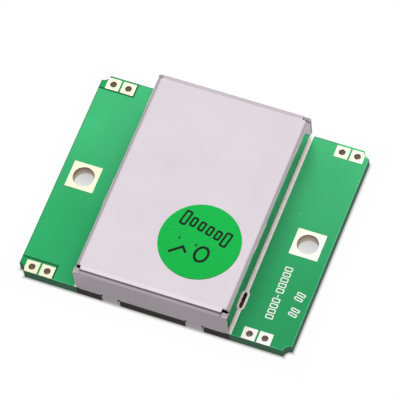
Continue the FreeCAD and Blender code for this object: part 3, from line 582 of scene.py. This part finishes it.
def copyTo(piece, place, turn):
    other = piece.copy()
    other.data = piece.data.copy()
    bpy.context.scene.collection.objects.link(other)
    move = Matrix.Translation([value * mm for value in place])
    other.data.transform(move @ Matrix.Rotation(math.radians(turn), 4, "Z"))
    return other


def joinAs(name, parts, material):
    clearSelection()
    for part in parts:
        part.select_set(True)
    bpy.context.view_layer.objects.active = parts[0]
    bpy.ops.object.join()
    piece = bpy.context.object
    piece.name = name
    piece.data.materials.clear()
    piece.data.materials.append(material)
    return piece


def discard(*pieces):
    for piece in pieces:
        bpy.data.objects.remove(piece)


# the board's print runs along its right side: four boxes, a dash, five boxes, then two pairs
boardPrint = {
    "column": 17.42,
    "turn": 90.0,
    "pitch": 0.98,
    "runs": ((-13.65, 4), (-8.95, 5)),
    "box": (0.78, 1.25),
    "stroke": 0.17,
    "corner": 0.14,
    "dashPlace": -9.92,
    "dashLength": 0.5,
    "dashCorner": 0.05,
    "pairs": ((20.75, -11.8, 78.0), (20.7, -9.0, 78.0)),
    "pairPitch": 0.85,
    "pairBox": (0.6, 1.45),
}


def makeBoardPrint():
    level = module["boardTop"]
    column, turn, stroke, corner = [boardPrint[k] for k in ("column", "turn", "stroke", "corner")]
    box = addBlankBox(*boardPrint["box"], stroke, corner)
    dash = addBlankBox(boardPrint["dashLength"], stroke, 0.0, boardPrint["dashCorner"])
    pairBox = addBlankBox(*boardPrint["pairBox"], stroke, corner)
    parts = [copyTo(dash, (column, boardPrint["dashPlace"], level), turn)]
    for start, count in boardPrint["runs"]:
        for i in range(count):
            parts.append(copyTo(box, (column, start + i * boardPrint["pitch"], level), turn))
    for x, y, pairTurn in boardPrint["pairs"]:
        along = Vector((math.cos(math.radians(pairTurn)), math.sin(math.radians(pairTurn))))
        for side in (-0.5, 0.5):
            centre = Vector((x, y)) + along * side * boardPrint["pairPitch"]
            parts.append(copyTo(pairBox, (centre.x, centre.y, level), pairTurn))
    discard(box, dash, pairBox)
    return joinAs("board_print", parts, makeInk("white_screen_ink"))


# the sticker's print: a ring, a tick and two dots over a row of blank boxes, upside down to the board,
# each placed from the sticker's centre
stickerPrint = {
    "turn": 167.0,
    "stroke": 0.4,
    "ringPlace": (1.06, -2.0),
    "ringRadius": 1.2,
    "ringStretch": 1.25,
    "tickPlace": (-2.1, -1.6),
    "tickArms": (0.95, 2.2),
    "tickLean": -38.0,
    "dotPlaces": ((-0.3, -0.75), (-3.2, -0.3)),
    "dotRadius": 0.17,
    "rowStart": (3.75, 1.55),
    "rowEnd": (-3.45, 3.3),
    "boxes": 6,
    "box": (1.05, 1.75),
    "tallBox": (1.2, 2.7),
    "boxStroke": 0.32,
    "boxCorner": 0.3,
}


def makeStickerPrint():
    centreX, centreY = module["stickerCentre"]
    stroke, boxStroke, corner = [stickerPrint[k] for k in ("stroke", "boxStroke", "boxCorner")]
    ring = addRing(stickerPrint["ringRadius"], stroke, stickerPrint["ringStretch"])
    dot = addRing(stickerPrint["dotRadius"], 0.0)
    tick = addTick(*stickerPrint["tickArms"], stroke, stickerPrint["tickLean"])
    box = addBlankBox(*stickerPrint["box"], boxStroke, corner)
    tallBox = addBlankBox(*stickerPrint["tallBox"], boxStroke, corner)
    shapes = [(ring, stickerPrint["ringPlace"]), (tick, stickerPrint["tickPlace"])]
    shapes += [(dot, place) for place in stickerPrint["dotPlaces"]]
    last = stickerPrint["boxes"] - 1
    for i in range(stickerPrint["boxes"]):
        share = i / last
        place = [a + (b - a) * share for a, b in zip(stickerPrint["rowStart"], stickerPrint["rowEnd"])]
        shapes.append((tallBox if i in (0, last) else box, place))
    parts = []
    for shape, (x, y) in shapes:
        place = (centreX + x, centreY + y, module["stickerTop"])
        parts.append(copyTo(shape, place, stickerPrint["turn"]))
    discard(ring, dot, tick, box, tallBox)
    return joinAs("sticker_print", parts, makeInk("black_label_ink"))


for piece in (makeBoardPrint(), makeStickerPrint()):
    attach(piece, "root")
print("prints done")


# the can again, with the square ledge at the start of its front and back bends eased into the bend
foldedCan = {
    "ledgeFrom": 17.6,
    "ledgeTo": 18.2,
    "ledgeTop": 8.0,
    "bendStart": 17.55,
    "smoothAngle": 30.0,
    "evenWeight": 90,
}


def makeFoldedCan():
    piece = bpy.data.objects.new("folded_shield_can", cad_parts["shield_can"].data.copy())
    bpy.context.scene.collection.objects.link(piece)
    for vertex in piece.data.vertices:
        y, z = vertex.co.y / mm, vertex.co.z / mm
        if z > foldedCan["ledgeTop"] and foldedCan["ledgeFrom"] < abs(y) < foldedCan["ledgeTo"]:
            vertex.co.y = math.copysign(foldedCan["bendStart"] * mm, y)
    takePiece(piece)
    bpy.ops.mesh.customdata_custom_splitnormals_clear()
    bpy.ops.object.shade_smooth_by_angle(angle=math.radians(foldedCan["smoothAngle"]))
    even = piece.modifiers.new("even", "WEIGHTED_NORMAL")
    even.weight = foldedCan["evenWeight"]
    even.keep_sharp = True
    bpy.ops.object.modifier_apply(modifier=even.name)
    piece.data.materials.clear()
    piece.data.materials.append(tinPlate)
    return piece


folded = makeFoldedCan()
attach(folded, "root")
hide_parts("shield_can")
print("folded can done")


# the rounded stubs of tin plate that lean in over the can's four corner holes
cornerStub = {
    "width": 1.0,
    "height": 0.82,
    "corner": 0.24,
    "sheet": 0.26,
    "lean": 28.0,
    "place": (12.13, -18.11, 7.04),
}


def makeCornerStubs():
    width, height, corner, sheet = [cornerStub[k] for k in ("width", "height", "corner", "sheet")]
    stub = addBlankBox(width, height, 0.0, corner, sheet)
    stub.rotation_euler = (math.radians(cornerStub["lean"]), 0.0, 0.0)
    bpy.ops.object.transform_apply(location=False, rotation=True, scale=False)
    x, y, z = cornerStub["place"]
    parts = []
    for side in (-1, 1):
        parts.append(copyTo(stub, (side * x, y, z), 0.0))
        parts.append(copyTo(stub, (side * x, -y, z), 180.0))
    discard(stub)
    return joinAs("can_corner_stubs", parts, tinPlate)


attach(makeCornerStubs(), "root")
print("corner stubs done")


# studio: a paper floor, a room that the metal mirrors, a soft lamp behind and a large one in front;
# the floor's reaches are in mm from the board's outline, other sizes and places in metres, power in watts
studio = {
    "floorLevel": -0.00003,
    "floorSize": 4.0,
    "floorWhite": "948F93",
    "contactReach": 0.5,
    "contactShare": 0.4,
    "shadowReach": 4.0,
    "shadowShare": 0.975,
    "underFrom": -0.5,
    "holeShare": (0.84, 0.55),
    "holeReach": 1.6,
    "mirrorShare": 0.34,
    "surroundLevel": 0.42,
    "ceilingLevel": 0.91,
    "ceilingTurn": 0.25,
    "ceilingReach": (0.3, 0.95),
    "wallFront": 0.13,
    "wallBack": 0.54,
    "horizonLevel": 0.45,
    "horizonReach": (0.12, 0.32),
    "glowDirection": (-0.15, -0.3, 0.94),
    "glowReach": (0.85, 0.95),
    "glowLevel": 0.09,
    "softboxes": {
        "back_softbox": {"place": (-0.01, 0.13, 0.10), "size": 0.10, "power": 0.33},
        "front_fill_softbox": {"place": (0.35, -0.45, 0.40), "size": 0.5, "power": 1.1},
    },
}
white = (1.0, 1.0, 1.0, 1.0)


# how much of its white the floor shows: less close to the board, a painted contact shadow over the paper's
# lit shade, and less through its holes, with painted light brighter at a hole's front
def floorShare(tree, y, past, under):
    wide = addNode(tree, "MapRange", [past, 0.0, studio["shadowReach"], studio["shadowShare"], 1.0])
    paintedContactShadow = addNode(tree, "MapRange", [past, 0.0, studio["contactReach"], studio["contactShare"], 1.0],
                      interpolation_type="SMOOTHSTEP")
    nearShare = addNode(tree, "Math", [wide, paintedContactShadow], operation="MULTIPLY")
    frontShare, backShare = studio["holeShare"]  # brighter at a hole's front
    reach = studio["holeReach"]
    holeShare = addNode(tree, "MapRange", [y, -reach, reach, frontShare, backShare])
    return addNode(tree, "MapRange", [under, 0.0, 1.0, nearShare, holeShare])


def addFloor():
    clearSelection()
    bpy.ops.mesh.primitive_plane_add(size=studio["floorSize"], location=(0.0, 0.0, studio["floorLevel"]))
    floor = bpy.context.object
    floor.name = "studio_floor"
    material = bpy.data.materials.new("white_paper_sweep")
    material.use_nodes = True
    tree = material.node_tree
    tree.nodes.clear()
    paper = addNode(tree, "BsdfDiffuse", [toLinear(studio["floorWhite"])])
    bright = addNode(tree, "Emission", [white, 1.0])
    rays = addNode(tree, "LightPath").outputs
    surface = addNode(tree, "NewGeometry").outputs
    place = addNode(tree, "VectorMath", {0: surface["Position"], "Scale": 1 / mm}, operation="SCALE")
    x, y = addNode(tree, "SeparateXYZ", [place]).outputs[:2]
    besideX = addNode(tree, "Math", [x], operation="ABSOLUTE")
    besideY = addNode(tree, "Math", [y], operation="ABSOLUTE")
    past = pastOutline(tree, besideX, besideY)
    under = addNode(tree, "Math", [past, studio["underFrom"]], operation="LESS_THAN")
    seen = addNode(tree, "Math", [rays["Is Camera Ray"], rays["Is Transmission Ray"]], operation="MAXIMUM")
    direct = addNode(tree, "Math", [seen, floorShare(tree, y, past, under)], operation="MULTIPLY")
    mirrored = addNode(tree, "Math", [rays["Is Glossy Ray"], studio["mirrorShare"]], operation="MULTIPLY")
    share = addNode(tree, "Math", [direct, mirrored], operation="MAXIMUM")
    top = addNode(tree, "MixShader", [share, paper, bright])
    # the floor is clear from below, and under the board it lets the room's light through,
    # so the underside is lit when seen from below
    clear = addNode(tree, "BsdfTransparent")
    unseen = addNode(tree, "Math", [1.0, seen], operation="SUBTRACT")
    clearShare = addNode(tree, "Math", [under, unseen], operation="MULTIPLY")
    clearShare = addNode(tree, "Math", [surface["Backfacing"], clearShare], operation="MAXIMUM")
    both = addNode(tree, "MixShader", [clearShare, top, clear])
    addNode(tree, "OutputMaterial", [both])
    floor.data.materials.append(material)


def addSurround():
    world = bpy.data.worlds.new("pale_surround")
    bpy.context.scene.world = world
    world.use_nodes = True
    tree = world.node_tree
    tree.nodes.clear()
    rays = addNode(tree, "LightPath").outputs
    seen = addNode(tree, "Math", [rays["Is Camera Ray"], rays["Is Transmission Ray"]], operation="MAXIMUM")
    seen = addNode(tree, "Math", [seen, rays["Is Glossy Ray"]], operation="MAXIMUM")
    level = addNode(tree, "MapRange", [seen, 0.0, 1.0, studio["surroundLevel"], 1.0])
    # metal mirrors the room: a dark band, deepest in front, between a paler horizon and a bright ceiling
    direction = addNode(tree, "TexCoord").outputs["Generated"]
    y, z = addNode(tree, "SeparateXYZ", [direction]).outputs[1:]
    band = addNode(tree, "MapRange", [y, -1.0, 1.0, studio["wallFront"], studio["wallBack"]])
    low, high = studio["horizonReach"]
    band = addNode(tree, "MapRange", [z, low, high, studio["horizonLevel"], band],
                   interpolation_type="SMOOTHSTEP")
    height = addNode(tree, "Math", [y, studio["ceilingTurn"], z], operation="MULTIPLY_ADD")
    low, high = studio["ceilingReach"]
    room = addNode(tree, "MapRange", [height, low, high, band, studio["ceilingLevel"]],
                   interpolation_type="SMOOTHSTEP")
    # and a soft glow overhead, a little to the front, which the can's front bend catches
    toGlow = addNode(tree, "VectorMath", [direction, studio["glowDirection"]], operation="DOT_PRODUCT")
    low, high = studio["glowReach"]
    glow = addNode(tree, "MapRange", [toGlow.outputs["Value"], low, high, 0.0, studio["glowLevel"]],
                   interpolation_type="SMOOTHSTEP")
    room = addNode(tree, "Math", [room, glow], operation="ADD")
    mirrored = addNode(tree, "MapRange", [rays["Is Glossy Ray"], 0.0, 1.0, 1.0, room])
    level = addNode(tree, "Math", [level, mirrored], operation="MULTIPLY")
    light = addNode(tree, "Background", [white, level])
    addNode(tree, "OutputWorld", [light])


def addSoftbox(name, place, size, power):
    clearSelection()
    bpy.ops.object.light_add(type="AREA", location=place)
    lamp = bpy.context.object
    lamp.name = name
    lamp.data.shape = "SQUARE"
    lamp.data.size = size
    lamp.data.energy = power
    lamp.rotation_euler = Vector(place).to_track_quat("Z", "Y").to_euler()
    lamp.visible_glossy = False  # the metal mirrors the room, not a bright square


# the camera stands where the photograph's did, and its distance gives the same slight perspective;
# places in mm and turns in degrees, but the clip in metres
camera = {
    "lens": 367.26,
    "sensor": 36.0,
    "azimuth": 27.583,
    "elevation": 60.556,
    "roll": -7.672,
    "distance": 634.249,
    "aim": (0.25, 1.639, 2.742),
    "clip": (0.01, 20.0),
}


def addCamera():
    azimuth, elevation, roll = [math.radians(camera[k]) for k in ("azimuth", "elevation", "roll")]
    level = math.cos(elevation)
    back = Vector((math.sin(azimuth) * level, -math.cos(azimuth) * level, math.sin(elevation)))
    turn = Matrix.Rotation(azimuth, 4, "Z") @ Matrix.Rotation(math.pi / 2 - elevation, 4, "X")
    turn = turn @ Matrix.Rotation(roll, 4, "Z")
    clearSelection()
    bpy.ops.object.camera_add()
    view = bpy.context.object
    view.name = "photo_view"
    view.matrix_world = Matrix.Translation((Vector(camera["aim"]) + back * camera["distance"]) * mm) @ turn
    view.data.lens = camera["lens"]
    view.data.sensor_width = camera["sensor"]
    view.data.clip_start, view.data.clip_end = camera["clip"]
    bpy.context.scene.camera = view


addFloor()
addSurround()
for name, box in studio["softboxes"].items():
    addSoftbox(name, box["place"], box["size"], box["power"])
addCamera()
bpy.context.scene.view_settings.view_transform = "Standard"
print("studio and camera done")
